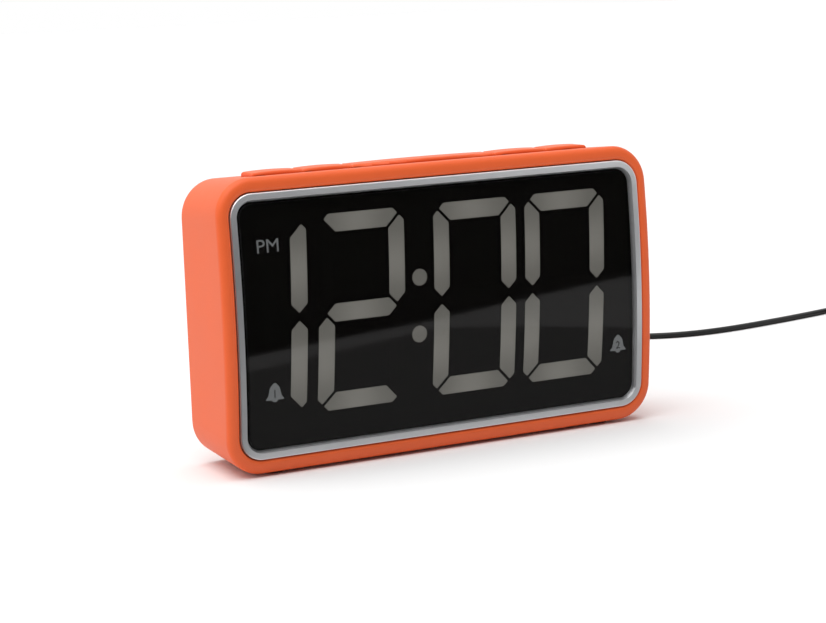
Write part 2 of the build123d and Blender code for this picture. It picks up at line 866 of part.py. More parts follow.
# ---------------------------------------------------------------- lead
def dc_plug():
    """Moulded grip of the barrel plug, with its tapered strain relief."""
    start = back_plane + 0.3
    grip = rod(jack_place, plug_radius, start, start + plug_length)
    grip = fillet(grip.edges().sort_by(Axis.Y)[0], 0.6)
    grip = fillet(grip.edges().sort_by(Axis.Y)[-1], 1.2)
    base = start + plug_length
    cone = Pos(jack_place[0], base + relief_length / 2 - 0.1, jack_place[1]) * Rot(-90, 0, 0)
    cone *= Cone(relief_root, relief_tip, relief_length + 0.2)
    body = grip + cone
    for index in range(4):
        ring = base + 2.0 + 2.4 * index
        cut = rod(jack_place, 6.0, ring, ring + 0.8)
        share = (ring - base) / relief_length
        core_radius = relief_root - (relief_root - relief_tip) * share - 0.55
        core = rod(jack_place, core_radius, ring - 0.5, ring + 1.3)
        body -= cut - core
    end = back_plane - 0.4
    neck = rod(jack_place, barrel_radius + 0.01, end + 0.1, start + 0.1)
    return as_solid(body + neck - rod(jack_place, barrel_radius, end, start + 2.0))


def plug_barrel():
    end = back_plane - 0.4
    barrel = rod(jack_place, barrel_radius, end - barrel_length, back_plane + 2.3)
    barrel -= rod(jack_place, barrel_bore, end - barrel_length - 1, end + 0.5)
    return as_solid(barrel)


def cord_radii():
    """Radius of the arc at each inner point of the route: 0.45 of the shorter run."""
    points = [Vector(*p) for p in cord_route]
    radii = []
    for before, here, after in zip(points, points[1:], points[2:]):
        arriving = here - before
        leaving = after - here
        turn = math.radians(arriving.get_angle(leaving))
        radii.append(0.45 * min(arriving.length, leaving.length) / math.tan(turn / 2))
    return radii


def cord_lead():
    radii = cord_radii()
    path = FilletPolyline(*cord_route, radius=radii)
    plane = Plane(origin=path @ 0, z_dir=path % 0)
    tube = as_solid(sweep(plane * Circle(cord_radius), path=path))
    share = tube.volume / (math.pi * cord_radius ** 2 * path.length)
    print("cord radii", [round(r, 1) for r in radii])
    print("cord length", round(path.length, 1), "volume share", round(share, 4))
    return tube


def cord_coil():
    """Outer shape of the wound coil."""
    across = coil_turns_across * cord_radius
    tall = coil_turns_high * 2 * cord_radius
    low = cord_level - cord_radius
    x, y = coil_centre
    ring = post(x, y, coil_mean_radius + across, low, low + tall)
    ring -= post(x, y, coil_mean_radius - across, low - 1, low + tall + 1)
    return as_solid(fillet(ring.edges(), cord_radius * 0.9))


def usb_place():
    """Where the outer turn leaves the coil towards the display side."""
    return coil_centre[0] + coil_mean_radius + (coil_turns_across - 1) * cord_radius, coil_centre[1] - 8.0


def usb_plug_grip():
    x, y = usb_place()
    wide, long, tall = usb_grip_size
    end = y - usb_relief_length
    level = tall / 2
    grip = block((x - wide / 2, end - long, 0.0), (x + wide / 2, end, tall))
    grip = fillet(grip.edges().filter_by(Axis.Y), 2.0)
    cone = Pos(x, (y + end) / 2, level) * Rot(-90, 0, 0) * Cone(2.8, relief_tip, usb_relief_length + 0.2)
    return as_solid(grip + cone)


def usb_plug_shell():
    x, y = usb_place()
    wide, long, tall = usb_shell_size
    start = y - usb_relief_length - usb_grip_size[1]
    level = usb_grip_size[2] / 2
    outer = block((x - wide / 2, start - long, level - tall / 2), (x + wide / 2, start, level + tall / 2))
    w = usb_shell_wall
    hollow = block(
        (x - wide / 2 + w, start - long - 1, level - tall / 2 + w),
        (x + wide / 2 - w, start - 1.0, level + tall / 2 - w),
    )
    for side in (-1, 1):
        middle = x + side * 2.8
        hole = block((middle - 1.1, start - 7.5, level), (middle + 1.1, start - 5.3, level + tall))
        outer -= hole
    return as_solid(outer - hollow)


def usb_plug_tongue():
    x, y = usb_place()
    wide, long, tall = usb_tongue_size
    start = y - usb_relief_length - usb_grip_size[1] - 1.0
    level = usb_grip_size[2] / 2 - usb_shell_size[2] / 2 + usb_shell_wall + fit_gap
    return block((x - wide / 2, start - long, level), (x + wide / 2, start, level + tall))


# ---------------------------------------------------------------- build every sub-part
keep("front_case", front_case())
keep("rear_cover", rear_cover())
keep("rubber_feet", *rubber_feet())
keep("trim_ring", trim_ring())
keep("display_lens", display_lens())
keep("segment_mask", segment_mask())

outlines = segment_outlines()
dark = []
lit = {name: [] for name in shown}
for digit, place, segment in fitted_segments():
    bar = light_bar(window_block(outlines[segment], place, 0))
    if segment in shown[digit]:
        lit[digit].append(bar)
    else:
        dark.append(bar)
for name, bars in lit.items():
    keep(name, *bars)
keep("unlit_segments", *dark)
keep("colon_dots", *[light_bar(colon_block(side, 0)) for side in (-1, 1)])

keep("display_board", display_board())
keep("display_leds", *display_leds())
shelf_back = shelf_plane + shelf_thickness
display_screw_length = shelf_back - board_plane + 3.5
keep("display_screws", *[screw(place, shelf_back, display_screw_length) for place in display_screw_places()])
cover_head = cover_inner - cover_pad_thickness + 2.4
keep("case_screws", *[screw(place, cover_head, 10.0) for place in boss_places()])

for index, name in enumerate(key_names):
    keep(name, top_key(index))
    keep(name.rsplit("_", 1)[0] + "_switch_stem", key_stem(index))
keep("tact_switches", *tact_switches())
keep("button_board", button_board())

keep("battery_door", battery_door())
keep("backup_batteries", *backup_batteries())
keep("battery_contacts", *battery_contacts())

keep("main_board", main_board())
keep("board_screws", *[board_screw(place) for place in board_post_places()])
keep("clock_chip", chip(30.0, 48.0, 15.0, 7.5, 2.4))
keep("driver_chips", chip(8.0, 48.0, 10.0, 4.0, 1.6), chip(58.0, 48.0, 10.0, 4.0, 1.6))
keep("crystal", can(30.0, 34.0, 1.6, 6.0))
keep("capacitors", can(60.0, 34.0, 4.0, 8.0), can(48.0, 28.0, 3.2, 6.5), can(2.0, 32.0, 3.2, 6.5))
keep("buzzer", buzzer())
keep("dc_jack", dc_jack())
keep("dimmer_switch", dimmer_switch())
keep("dimmer_knob", dimmer_knob())

board_back = board_plane + board_thickness
display_cable_path = [
    (board_back + 0.4, 88.0), (board_back + 0.4, 76.0), (-2.0, 72.0), (-2.0, 62.0),
    (main_board_face - 0.4, 60.0), (main_board_face - 0.4, 54.0),
]
keep("display_cable", flat_cable(display_cable_path, 14.0, 6.0))
key_cable_top = switch_board_height() - board_thickness - 0.4
key_cable_end = main_board_face - 0.4
key_cable_drop = [(2.6, 76.0), (key_cable_end, 72.0), (key_cable_end, 64.0)]
key_cable_path = [(-3.0, key_cable_top), (2.6, key_cable_top)] + key_cable_drop
keep("button_cable", flat_cable(key_cable_path, 8.0, 44.0))

keep("dc_plug", dc_plug())
keep("plug_barrel", plug_barrel())
keep("cord_lead", cord_lead())
keep("cord_coil", cord_coil())
keep("usb_plug_grip", usb_plug_grip())
keep("usb_plug_shell", usb_plug_shell())
keep("usb_plug_tongue", usb_plug_tongue())

print(len(bodies), "nodes")
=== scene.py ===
import bpy
import json
import math
from mathutils import Euler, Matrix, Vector


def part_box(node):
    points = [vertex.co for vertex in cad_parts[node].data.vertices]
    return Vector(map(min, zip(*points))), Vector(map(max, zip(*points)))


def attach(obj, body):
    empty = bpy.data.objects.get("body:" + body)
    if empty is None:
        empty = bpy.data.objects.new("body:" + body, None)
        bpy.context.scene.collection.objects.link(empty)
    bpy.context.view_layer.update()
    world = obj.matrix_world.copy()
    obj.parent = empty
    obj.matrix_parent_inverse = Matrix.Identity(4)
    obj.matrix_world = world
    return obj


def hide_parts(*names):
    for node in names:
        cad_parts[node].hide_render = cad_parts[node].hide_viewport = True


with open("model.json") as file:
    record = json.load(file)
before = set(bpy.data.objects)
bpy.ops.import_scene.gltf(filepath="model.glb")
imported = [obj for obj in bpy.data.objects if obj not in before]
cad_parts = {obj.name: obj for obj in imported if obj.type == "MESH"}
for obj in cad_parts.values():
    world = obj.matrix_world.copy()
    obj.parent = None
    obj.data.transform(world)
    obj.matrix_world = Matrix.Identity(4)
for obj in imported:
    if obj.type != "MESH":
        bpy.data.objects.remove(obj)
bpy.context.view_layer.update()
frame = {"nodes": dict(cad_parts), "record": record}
nodes = frame["nodes"]
mm = 0.001
print("frame loaded:", len(nodes), "nodes")

# the display's bow: the front is a cylinder about X, drawn from the case's height and its bulge
shellPlan = {"height": 0.11385, "bow": 0.0036, "base": 0.001, "frontPlane": -0.0183}
bowRadius = ((shellPlan["height"] / 2) ** 2 + shellPlan["bow"] ** 2) / (2 * shellPlan["bow"])
bowAxis = shellPlan["frontPlane"] - shellPlan["bow"] + bowRadius
displayMiddle = shellPlan["base"] + shellPlan["height"] / 2


def bowDepth(height, sunk):
    return bowAxis - math.sqrt((bowRadius - sunk) ** 2 - (height - displayMiddle) ** 2)


# ---- camera
cameraPlan = {
    "place": (-0.45254, -0.81722, 0.19512),
    "turn": (81.3668, 2.1636, -29.0628),
    "lens": 102.585,
    "sensor": 36.0,
}


def makeCamera(plan):
    eye = bpy.data.cameras.new("camera")
    eye.lens = plan["lens"]
    eye.sensor_width = plan["sensor"]
    eye.clip_start = 0.01
    eye.clip_end = 50.0
    holder = bpy.data.objects.new("camera", eye)
    holder.location = plan["place"]
    holder.rotation_euler = Euler([math.radians(a) for a in plan["turn"]])
    bpy.context.scene.collection.objects.link(holder)
    bpy.context.scene.camera = holder


makeCamera(cameraPlan)


# ---- small helpers for shaders
class Wire:
    def __init__(self, bench, socket):
        self.bench = bench
        self.socket = socket

    def maths(self, operation, left, right):
        return self.bench.add("ShaderNodeMath", {"operation": operation}, {0: left, 1: right})

    def __add__(self, other):
        return self.maths("ADD", self, other)

    def __radd__(self, other):
        return self.maths("ADD", other, self)

    def __sub__(self, other):
        return self.maths("SUBTRACT", self, other)

    def __rsub__(self, other):
        return self.maths("SUBTRACT", other, self)

    def __mul__(self, other):
        return self.maths("MULTIPLY", self, other)

    def __rmul__(self, other):
        return self.maths("MULTIPLY", other, self)


class Bench:
    def __init__(self, name):
        self.material = bpy.data.materials.new(name)
        self.material.use_nodes = True
        self.tree = self.material.node_tree
        self.shader = self.tree.nodes["Principled BSDF"]
        self.coords = self.add("ShaderNodeTexCoord", out="Object")

    def plug(self, socket, value):
        if isinstance(value, Wire):
            self.tree.links.new(value.socket, socket)
        else:
            socket.default_value = value

    def add(self, kind, settings=None, sockets=None, out=0):
        node = self.tree.nodes.new(kind)
        for key, value in (settings or {}).items():
            setattr(node, key, value)
        for key, value in (sockets or {}).items():
            self.plug(node.inputs[key], value)
        return Wire(self, node.outputs[out])

    def noise(self, scale, detail=2.0, roughness=0.5, stretch=None):
        where = self.coords
        if stretch:
            where = self.add("ShaderNodeVectorMath", {"operation": "MULTIPLY"}, {0: where, 1: stretch})
        return self.add(
            "ShaderNodeTexNoise", {},
            {"Vector": where, "Scale": scale, "Detail": detail, "Roughness": roughness},
        )

    def mix(self, first, second, share):
        return self.add("ShaderNodeMix", {"data_type": "RGBA"}, {0: share, 6: first, 7: second}, out=2)

    def step(self, value, low, high):
        return self.add(
            "ShaderNodeMapRange", {"interpolation_type": "SMOOTHSTEP"},
            {"Value": value, "From Min": low, "From Max": high},
        )

    def bump(self, height, strength, distance):
        return self.add("ShaderNodeBump", {}, {"Height": height, "Strength": strength, "Distance": distance})

    def finish(self, sockets):
        for key, value in sockets.items():
            self.plug(self.shader.inputs[key], value)
        return self.material


def rgb(red, green, blue):
    return (red, green, blue, 1.0)


def shade(colour, gain):
    return tuple([min(1.0, channel * gain) for channel in colour[:3]] + [1.0])


# ---- finishes: moulded plastics share one recipe, metals another
def mouldedPlastic(name, plan):
    bench = Bench(name)
    cloud = bench.noise(plan.get("cloudScale", 38.0), 3.0)
    grain = bench.noise(plan["grainScale"], 2.0, 0.6)
    pores = bench.noise(plan["grainScale"] * 0.37, 1.0)
    colour = bench.mix(shade(plan["colour"], 0.965), shade(plan["colour"], 1.03), cloud)
    grainTint = shade(plan["colour"], plan.get("grainShade", 0.93))
    colour = bench.mix(colour, grainTint, bench.step(grain, 0.55, 0.8))
    rough = plan["roughness"] - plan["roughnessSpread"] / 2 + cloud * plan["roughnessSpread"]
    height = grain * 0.65 + pores * 0.35
    # painted glow: a plastic whose plan lists a glow emits light though it holds no lamp
    if "glow" in plan:
        bench.finish({"Emission Color": plan["glow"], "Emission Strength": 1.0})
    return bench.finish({
        "Base Color": colour,
        "Roughness": rough,
        "IOR": plan.get("ior", 1.5),
        "Normal": bench.bump(height, plan["grainStrength"], plan["grainDepth"]),
    })


def platedMetal(name, plan):
    bench = Bench(name)
    cloud = bench.noise(plan["cloudScale"], 3.0)
    drawn = bench.noise(plan["grainScale"], 2.0, 0.55, plan.get("stretch", (1.0, 1.0, 1.0)))
    colour = bench.mix(shade(plan["colour"], 0.9), shade(plan["colour"], 1.05), cloud)
    return bench.finish({
        "Base Color": colour,
        "Metallic": plan["metallic"],
        "Roughness": plan["roughness"] - 0.04 + drawn * 0.08,
        "Normal": bench.bump(drawn, plan["grainStrength"], plan["grainDepth"]),
    })


plasticPlans = {
    "case_orange": {
        "colour": rgb(0.78, 0.115, 0.024), "ior": 1.36, "roughness": 0.47, "roughnessSpread": 0.07,
        "grainScale": 2600.0, "grainStrength": 0.22, "grainDepth": 0.00006,
    },
    "cover_orange": {
        "colour": rgb(0.74, 0.107, 0.022), "roughness": 0.56, "roughnessSpread": 0.06,
        "grainScale": 1500.0, "grainStrength": 0.5, "grainDepth": 0.0001,
    },
    "key_orange": {
        "colour": rgb(0.78, 0.115, 0.024), "ior": 1.36, "roughness": 0.44, "roughnessSpread": 0.07,
        "grainScale": 2900.0, "grainStrength": 0.2, "grainDepth": 0.00005,
    },
    "foot_rubber": {
        "colour": rgb(0.022, 0.021, 0.02), "roughness": 0.82, "roughnessSpread": 0.1,
        "grainScale": 1900.0, "grainStrength": 0.5, "grainDepth": 0.00008, "grainShade": 1.5,
    },
    "mask_black": {
        "colour": rgb(0.006, 0.0055, 0.005), "roughness": 0.75, "roughnessSpread": 0.1,
        "grainScale": 2200.0, "grainStrength": 0.3, "grainDepth": 0.00005,
    },
    "diffuser_dark": {
        "colour": rgb(0.0075, 0.007, 0.0065), "roughness": 0.6, "roughnessSpread": 0.1,
        "grainScale": 2400.0, "grainStrength": 0.2, "grainDepth": 0.00004,
    },
    "switch_black": {
        "colour": rgb(0.02, 0.02, 0.021), "roughness": 0.45, "roughnessSpread": 0.1,
        "grainScale": 2300.0, "grainStrength": 0.25, "grainDepth": 0.00005, "grainShade": 1.4,
    },
    "stem_black": {
        "colour": rgb(0.018, 0.018, 0.018), "roughness": 0.4, "roughnessSpread": 0.08,
        "grainScale": 2500.0, "grainStrength": 0.2, "grainDepth": 0.00004, "grainShade": 1.4,
    },
    "chip_black": {
        "colour": rgb(0.025, 0.025, 0.028), "roughness": 0.62, "roughnessSpread": 0.12,
        "grainScale": 3100.0, "grainStrength": 0.4, "grainDepth": 0.00006, "grainShade": 1.5,
    },
    "capacitor_black": {
        "colour": rgb(0.02, 0.023, 0.05), "roughness": 0.3, "roughnessSpread": 0.08,
        "grainScale": 1200.0, "grainStrength": 0.15, "grainDepth": 0.00005,
    },
    "buzzer_black": {
        "colour": rgb(0.02, 0.02, 0.02), "roughness": 0.35, "roughnessSpread": 0.08,
        "grainScale": 2100.0, "grainStrength": 0.2, "grainDepth": 0.00004, "grainShade": 1.4,
    },
    "jack_black": {
        "colour": rgb(0.02, 0.02, 0.02), "roughness": 0.42, "roughnessSpread": 0.1,
        "grainScale": 2500.0, "grainStrength": 0.25, "grainDepth": 0.00005, "grainShade": 1.4,
    },
    "knob_black": {
        "colour": rgb(0.028, 0.028, 0.029), "roughness": 0.55, "roughnessSpread": 0.1,
        "grainScale": 2600.0, "grainStrength": 0.35, "grainDepth": 0.00006, "grainShade": 1.4,
    },
    "ribbon_grey": {
        "colour": rgb(0.42, 0.43, 0.45), "roughness": 0.5, "roughnessSpread": 0.08,
        "grainScale": 900.0, "grainStrength": 0.25, "grainDepth": 0.00006,
    },
    "plug_black": {
        "colour": rgb(0.016, 0.016, 0.016), "roughness": 0.58, "roughnessSpread": 0.1,
        "grainScale": 1800.0, "grainStrength": 0.45, "grainDepth": 0.00008, "grainShade": 1.5,
    },
    "cord_black": {
        "colour": rgb(0.009, 0.009, 0.009), "ior": 1.3, "roughness": 0.42, "roughnessSpread": 0.1,
        "grainScale": 1400.0, "grainStrength": 0.3, "grainDepth": 0.00006, "grainShade": 1.5,
    },
    "tongue_white": {
        "colour": rgb(0.82, 0.82, 0.81), "roughness": 0.35, "roughnessSpread": 0.06,
        "grainScale": 2400.0, "grainStrength": 0.15, "grainDepth": 0.00004,
    },
    "led_white": {
        "colour": rgb(0.86, 0.80, 0.58), "roughness": 0.28, "roughnessSpread": 0.06,
        "grainScale": 3000.0, "grainStrength": 0.15, "grainDepth": 0.00004,
    },
    # painted glow: the printed marks emit light though they hold no lamp, so they stay pale behind the smoked
    # window
    "markGrey": {
        "colour": rgb(0.55, 0.57, 0.58), "glow": rgb(0.50, 0.52, 0.53), "roughness": 0.7,
        "roughnessSpread": 0.06,
        "grainScale": 4200.0, "grainStrength": 0.15, "grainDepth": 0.00002,
    },
}

metalPlans = {
    "trim_silver": {
        "colour": rgb(0.80, 0.81, 0.83), "metallic": 0.85, "roughness": 0.33, "cloudScale": 60.0,
        "grainScale": 5200.0, "grainStrength": 0.12, "grainDepth": 0.00003,
    },
    "screw_steel": {
        "colour": rgb(0.56, 0.56, 0.54), "metallic": 1.0, "roughness": 0.34, "cloudScale": 300.0,
        "grainScale": 2600.0, "grainStrength": 0.25, "grainDepth": 0.00004,
    },
    "can_steel": {
        "colour": rgb(0.62, 0.62, 0.61), "metallic": 1.0, "roughness": 0.28, "cloudScale": 220.0,
        "grainScale": 1600.0, "grainStrength": 0.2, "grainDepth": 0.00004, "stretch": (1.0, 0.15, 1.0),
    },
    "contact_nickel": {
        "colour": rgb(0.70, 0.67, 0.61), "metallic": 1.0, "roughness": 0.24, "cloudScale": 260.0,
        "grainScale": 1900.0, "grainStrength": 0.15, "grainDepth": 0.00003, "stretch": (1.0, 0.2, 1.0),
    },
    "shell_nickel": {
        "colour": rgb(0.70, 0.70, 0.71), "metallic": 1.0, "roughness": 0.26, "cloudScale": 180.0,
        "grainScale": 1500.0, "grainStrength": 0.18, "grainDepth": 0.00003, "stretch": (1.0, 0.12, 1.0),
    },
}

finishes = {name: mouldedPlastic(name, plan) for name, plan in plasticPlans.items() if name != "key_orange"}
finishes.update({name: platedMetal(name, plan) for name, plan in metalPlans.items()})


# smoked window: polished, with a breath of dust in its gloss
lensPlan = {"colour": rgb(0.004, 0.0035, 0.003), "roughness": 0.035, "haze": 0.03, "alpha": 0.55, "ior": 1.49}


def smokedLens(plan):
    bench = Bench("lens_smoked")
    haze = bench.noise(46.0, 4.0, 0.6)
    specks = bench.step(bench.noise(900.0, 1.0), 0.72, 0.8)
    colour = bench.mix(plan["colour"], shade(plan["colour"], 3.0), specks)
    material = bench.finish({
        "Base Color": colour,
        "Roughness": plan["roughness"] + haze * plan["haze"],
        "IOR": plan["ior"],
        "Alpha": plan["alpha"],
    })
    material.blend_method = "BLEND"
    return material


finishes["lens_smoked"] = smokedLens(lensPlan)


# keys: the case's plastic with a painted shade oval low on each front face
keyShadePlan = {
    "across": (-0.0720, -0.0510, -0.0304, 0.0372, 0.0662), "half": (0.003, 0.00075), "below": 0.0018,
    "front": -0.006, "shade": 0.62,
}


def keyPlastic(plan, shadePlan, top):
    bench = Bench("key_orange")
    grain = bench.noise(plan["grainScale"], 2.0, 0.6)
    cloud = bench.noise(38.0, 3.0)
    colour = bench.mix(shade(plan["colour"], 0.965), shade(plan["colour"], 1.03), cloud)
    colour = bench.mix(colour, shade(plan["colour"], 0.93), bench.step(grain, 0.55, 0.8))
    x = bench.add("ShaderNodeSeparateXYZ", {}, {0: bench.coords}, out="X")
    y = bench.add("ShaderNodeSeparateXYZ", {}, {0: bench.coords}, out="Y")
    z = bench.add("ShaderNodeSeparateXYZ", {}, {0: bench.coords}, out="Z")
    up = (z - (top - shadePlan["below"])) * (1.0 / shadePlan["half"][1])
    paintedShade = None
    # painted shade: a darker oval low on each key's front face stands in for the shade falling there
    for middle in shadePlan["across"]:
        side = (x - middle) * (1.0 / shadePlan["half"][0])
        shadeOval = 1.0 - bench.step(side * side + up * up, 0.6, 1.2)
        paintedShade = shadeOval if paintedShade is None else paintedShade + shadeOval
    paintedShade = paintedShade * (1.0 - bench.step(y, shadePlan["front"], shadePlan["front"] + 0.0004))
    return bench.finish({
        "Base Color": bench.mix(colour, shade(plan["colour"], shadePlan["shade"]), paintedShade),
        "Roughness": plan["roughness"] + cloud * plan["roughnessSpread"],
        "IOR": plan["ior"],
        "Normal": bench.bump(grain, plan["grainStrength"], plan["grainDepth"]),
    })


finishes["key_orange"] = keyPlastic(plasticPlans["key_orange"], keyShadePlan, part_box("alarm_1_button")[1].z)


# light bars: frosted, brightest over the light chip behind each one
barPlan = {
    "colour": rgb(0.60, 0.585, 0.53),
    "edgeGlow": rgb(0.45, 0.4375, 0.394),
    "middleGlow": rgb(0.68, 0.66, 0.598),
    "strength": 1.0,
    "reach": 0.015,
    "dim": 0.72,
}


def chipSpots():
    spots = []
    for vertex in nodes["display_leds"].data.vertices:
        x, z = vertex.co.x, vertex.co.z
        if all(math.hypot(x - s[0], z - s[1]) > 0.004 for s in spots):
            spots.append((x, z))
    return spots


def lightBar(name, node, spots, plan, gain):
    low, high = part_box(node)
    bench = Bench(name)
    flat = bench.add("ShaderNodeVectorMath", {"operation": "MULTIPLY"}, {0: bench.coords, 1: (1.0, 0.0, 1.0)})
    near = None
    for x, z in spots:
        if low.x - mm < x < high.x + mm and low.z - mm < z < high.z + mm:
            chip = (x, 0.0, z)
            gap = bench.add("ShaderNodeVectorMath", {"operation": "DISTANCE"}, {0: flat, 1: chip}, out="Value")
            near = gap if near is None else near.maths("MINIMUM", near, gap)
    fall = 1.0 - bench.step(near, 0.0, plan["reach"])
    frost = bench.noise(1700.0, 2.0)
    cloud = bench.noise(70.0, 2.0)
    glow = bench.mix(shade(plan["edgeGlow"], gain), shade(plan["middleGlow"], gain), fall)
    return bench.finish({
        "Base Color": bench.mix(shade(plan["colour"], 0.95 * gain), shade(plan["colour"], gain), cloud),
        "Roughness": 0.55 + frost * 0.1,
        "Emission Color": glow,
        "Emission Strength": plan["strength"],
        "Normal": bench.bump(frost, 0.25, 0.00004),
    })


# circuit boards: solder mask over faint copper runs
def boardGreen():
    bench = Bench("board_green")
    runs = bench.add(
        "ShaderNodeTexBrick", {"offset": 0.35, "squash": 0.6},
        {"Vector": bench.coords, "Scale": 160.0, "Mortar Size": 0.03, "Mortar Smooth": 0.4}, out="Fac",
    )
    cloud = bench.noise(55.0, 3.0)
    base = bench.mix(rgb(0.012, 0.10, 0.045), rgb(0.018, 0.13, 0.06), cloud)
    return bench.finish({
        "Base Color": bench.mix(base, rgb(0.05, 0.21, 0.09), runs),
        "Roughness": 0.34 + cloud * 0.1,
        "Normal": bench.bump(runs, 0.3, 0.00003),
    })


# battery jacket: dark body, one pale band and a thin line beside it
def cellJacket(low, high):
    bench = Bench("cell_wrap")
    split = bench.add("ShaderNodeSeparateXYZ", {}, {0: bench.coords}, out="X")
    start = low.x + (high.x - low.x) * 0.70
    band = bench.step(split, start, start + 0.0002)
    lineStart = bench.step(split, start - 0.0018, start - 0.0017)
    line = lineStart - bench.step(split, start - 0.0011, start - 0.001)
    scuffs = bench.step(bench.noise(420.0, 3.0), 0.62, 0.72)
    colour = bench.mix(rgb(0.035, 0.04, 0.05), rgb(0.55, 0.38, 0.16), band)
    colour = bench.mix(colour, rgb(0.7, 0.7, 0.68), line)
    return bench.finish({
        "Base Color": bench.mix(colour, rgb(0.2, 0.2, 0.2), scuffs * 0.25),
        "Metallic": 0.35,
        "Roughness": 0.3 + scuffs * 0.15,
    })


spots = chipSpots()
finishes["board_green"] = boardGreen()
finishes["cell_wrap"] = cellJacket(*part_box("backup_batteries"))
for bar in ("hour_tens", "hour_units", "minute_tens", "minute_units"):
    finishes[bar] = lightBar(bar, bar + "_segments", spots, barPlan, 1.0)
finishes["colon"] = lightBar("colon", "colon_dots", spots, barPlan, barPlan["dim"])
slotOf = {part["node"]: part["material_slot"] for part in frame["record"]["subparts"]}
for name, piece in nodes.items():
    finish = finishes.get(slotOf[name])
    if name.endswith("_segments") and name != "unlit_segments":
        finish = finishes[name.replace("_segments", "")]
    if name == "colon_dots":
        finish = finishes["colon"]
    if not piece.material_slots:
        piece.data.materials.append(finish)
    for place in piece.material_slots:
        place.material = finish
print("finishes on every node")


# ---- the lead: laid along the floor, its spare length wound in a coil beyond the right of the clock
leadPlan = {
    "diameter": 0.0029,
    "length": 1.5,
    "route": [
        (0.058, 0.0542, 0.022), (0.058, 0.066, 0.022), (0.060, 0.084, 0.010), (0.066, 0.104, 0.0015),
        (0.086, 0.129, 0.0015), (0.124, 0.146, 0.0015), (0.165, 0.152, 0.0015), (0.200, 0.153, 0.0015),
        (0.221, 0.140, 0.0015), (0.248, 0.137, 0.0015), (0.286, 0.1425, 0.0015), (0.320, 0.1495, 0.0015),
        (0.345, 0.1564, 0.0015),
    ],
    "coilCentre": (0.353, 0.1365),
    "turnRadii": (0.01215, 0.01505, 0.01795, 0.02085),
    "levels": (0.0015, 0.0044, 0.0073),
    "pointsPerTurn": 16,
    "shift": 0.3,
    "plugEnd": (0.37385, 0.1285, 0.0040),
}


def coilTracks(plan):
    inner, second, third, outer = plan["turnRadii"]
    low, middle, high = plan["levels"]
    tracks = [(outer, low), (third, low), (second, low), (inner, low)]
    tracks += [(inner, middle), (inner, high), (second, high), (second, middle)]
    tracks += [(third, middle), (third, high), (outer, high), (outer, middle)]
    return tracks


def coilPoints(plan):
    tracks = coilTracks(plan)
    count = plan["pointsPerTurn"]
    swell = 1 / (0.75 + 0.25 * math.cos(2 * math.pi / count))   # the spline runs inside its points
    points = []
    for index in range((len(tracks) - 1) * count + count // 4 + 1):
        turn, along = divmod(index / count, 1.0)
        turn = int(turn)
        share = max(0.0, (along - 1 + plan["shift"]) / plan["shift"])
        share = share * share * (3 - 2 * share)
        here = tracks[turn]
        after = tracks[min(turn + 1, len(tracks) - 1)]
        radius = (here[0] + (after[0] - here[0]) * share) * swell
        level = here[1] + (after[1] - here[1]) * share
        angle = math.pi / 2 - 2 * math.pi * index / count
        points.append((
            plan["coilCentre"][0] + radius * math.cos(angle),
            plan["coilCentre"][1] + radius * math.sin(angle),
            level,
        ))
    return points


def makeLead(plan):
    curve = bpy.data.curves.new("lead", "CURVE")
    curve.dimensions = "3D"
    curve.bevel_depth = plan["diameter"] / 2
    curve.bevel_resolution = 4
    curve.resolution_u = 5
    curve.use_fill_caps = True
    spline = curve.splines.new("NURBS")
    last = plan["plugEnd"]
    ending = [(last[0], last[1] + 0.004, last[2] + 0.0002), last, (last[0], last[1] - 0.003, last[2])]
    points = plan["route"] + coilPoints(plan) + ending
    spline.points.add(len(points) - 1)
    for point, place in zip(spline.points, points):
        point.co = (*place, 1.0)
    spline.order_u = 3
    spline.use_endpoint_u = True
    lead = bpy.data.objects.new("lead", curve)
    bpy.context.scene.collection.objects.link(lead)
    curve.materials.append(finishes["cord_black"])
    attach(lead, "case")
    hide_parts("cord_lead", "cord_coil")


makeLead(leadPlan)
print("lead laid")


# ---- printed marks on the back of the window, grey print with a painted glow
markPlan = {
    "sunk": 0.00322,
    "numberSunk": 0.00320,
    "thickness": 0.000008,
    "pm": {"text": "PM", "middle": (-0.0756, 0.0884), "height": 0.0050, "width": 0.0091, "weight": 0.0},
    "bells": [{"number": "1", "middle": (-0.0756, 0.0319)}, {"number": "2", "middle": (0.0814, 0.0330)}],
    "bellSize": (0.0077, 0.0075),
}


def selectOnly(piece):
    bpy.ops.object.select_all(action="DESELECT")
    piece.select_set(True)
    bpy.context.view_layer.objects.active = piece


def settle(piece, body, finish):
    selectOnly(piece)
    bpy.ops.object.transform_apply(location=True, rotation=True, scale=True)
    piece.data.materials.clear()
    piece.data.materials.append(finish)
    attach(piece, body)


def layOnBow(piece, sunk, thickness):
    # a flat shape in XZ takes the window's curve and a printed film's thickness
    for vertex in piece.data.vertices:
        depth = bowDepth(vertex.co.z, sunk)
        vertex.co.y = depth + (thickness if vertex.co.y > 0 else 0.0)


def flatText(name, text, middle, height, width=None, weight=0.0):
    bpy.ops.object.text_add(location=(0, 0, 0))
    piece = bpy.context.object
    piece.name = name
    piece.data.body = text
    piece.data.align_x = "CENTER"
    piece.data.align_y = "CENTER"
    piece.data.resolution_u = 4
    piece.data.extrude = 0.05
    piece.data.offset = weight
    selectOnly(piece)
    bpy.ops.object.convert(target="MESH")
    piece = bpy.context.object
    low = [min(v.co[i] for v in piece.data.vertices) for i in range(2)]
    high = [max(v.co[i] for v in piece.data.vertices) for i in range(2)]
    tall = height / (high[1] - low[1])
    wide = tall if width is None else width / (high[0] - low[0])
    centre = [(low[i] + high[i]) / 2 for i in range(2)]
    for vertex in piece.data.vertices:
        x, z, back = vertex.co.x, vertex.co.y, vertex.co.z
        vertex.co = ((x - centre[0]) * wide + middle[0], -back, (z - centre[1]) * tall + middle[1])
    return piece


